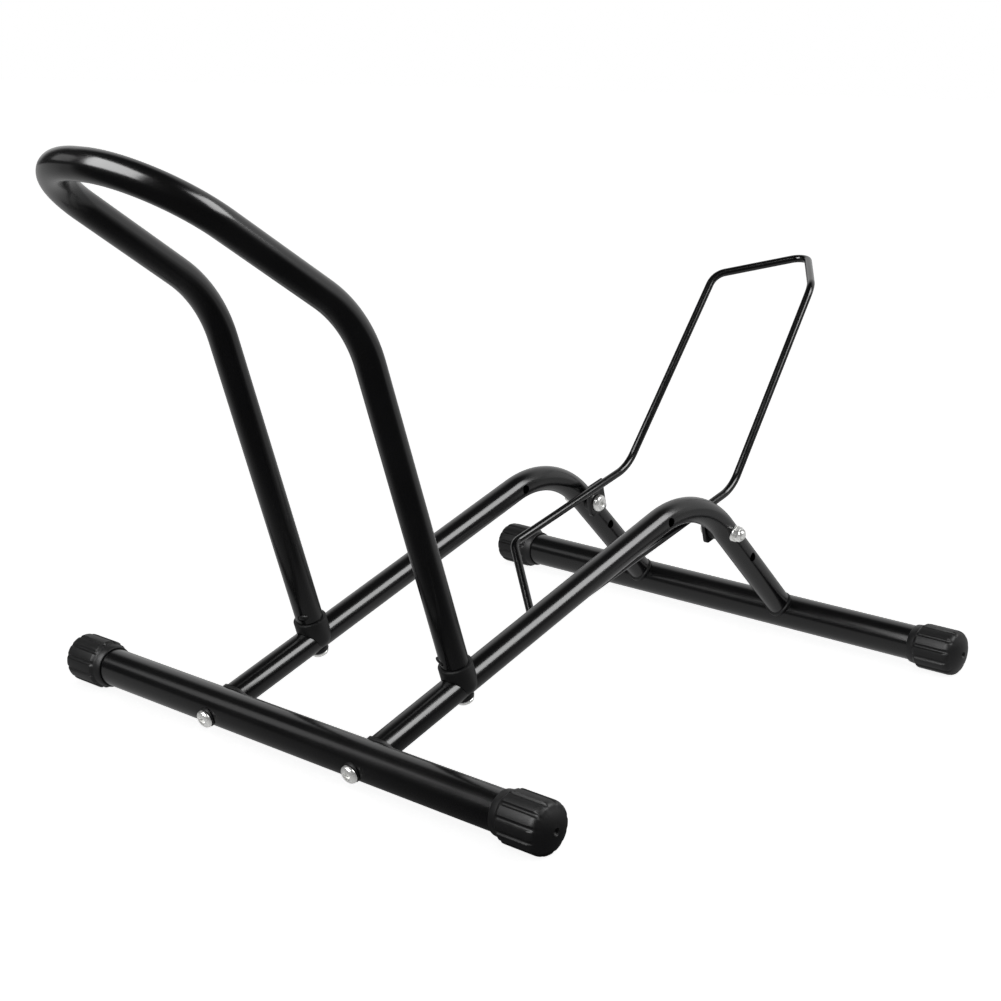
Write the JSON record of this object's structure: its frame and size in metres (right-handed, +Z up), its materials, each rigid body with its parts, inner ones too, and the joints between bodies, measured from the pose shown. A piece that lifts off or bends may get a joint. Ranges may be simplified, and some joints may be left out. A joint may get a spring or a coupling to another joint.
{
  "type": "bike display stand",
  "caption": "Floor stand that holds a bicycle by its wheel: a forward-leaning tube hoop and a hinged wire cradle on bent tube rails, with fluted caps on the foot tubes.",
  "frame": {"origin": "middle of the stand's footprint box, on the floor", "axes": "+X to the right across the stand, +Y from the hoop's end to the cradle's end, +Z up"},
  "size_m": [0.4344, 0.7023, 0.3798],
  "materials": {
    "powder": "satin black powder coat on steel tube",
    "wire": "satin black coat on steel rod and plate",
    "plastic": "matte black moulded plastic",
    "steel": "bright zinc plate"
  },
  "bodies": {
    "frame": {"front_foot_tube": "powder", "front_left_cap": "plastic", "front_left_rail_saddle": "plastic", "front_left_rail_slug": "steel", "front_left_foot_washer": "plastic", "front_left_foot_bolt": "steel", "front_right_cap": "plastic", "front_right_rail_saddle": "plastic", "front_right_rail_slug": "steel", "front_right_foot_washer": "plastic", "front_right_foot_bolt": "steel", "rear_foot_tube": "powder", "rear_left_cap": "plastic", "rear_left_rail_saddle": "plastic", "rear_left_rail_slug": "steel", "rear_left_foot_washer": "plastic", "rear_left_foot_bolt": "steel", "rear_right_cap": "plastic", "rear_right_rail_saddle": "plastic", "rear_right_rail_slug": "steel", "rear_right_foot_washer": "plastic", "rear_right_foot_bolt": "steel", "wheel_hoop": "powder", "left_rail": "powder", "left_hoop_saddle": "plastic", "left_hoop_slug": "steel", "left_hoop_washer": "plastic", "left_hoop_bolt": "steel", "left_pivot_spacer": "plastic", "left_pivot_washer": "steel", "left_pivot_nut": "steel", "left_pivot_bolt": "steel", "right_rail": "powder", "right_hoop_saddle": "plastic", "right_hoop_slug": "steel", "right_hoop_washer": "plastic", "right_hoop_bolt": "steel", "right_pivot_spacer": "plastic", "right_pivot_washer": "steel", "right_pivot_nut": "steel", "right_pivot_bolt": "steel"},
    "cradle": {"cradle_rod": "wire", "left_cradle_tab": "wire", "right_cradle_tab": "wire"}
  },
  "joints": [
    {"name": "cradle_hinge", "type": "hinge", "parent": "frame", "child": "cradle", "pos_m": [0, 0.16485, 0.09386], "axis": [-1, 0, 0], "range_deg": [-16, 84]}
  ]
}
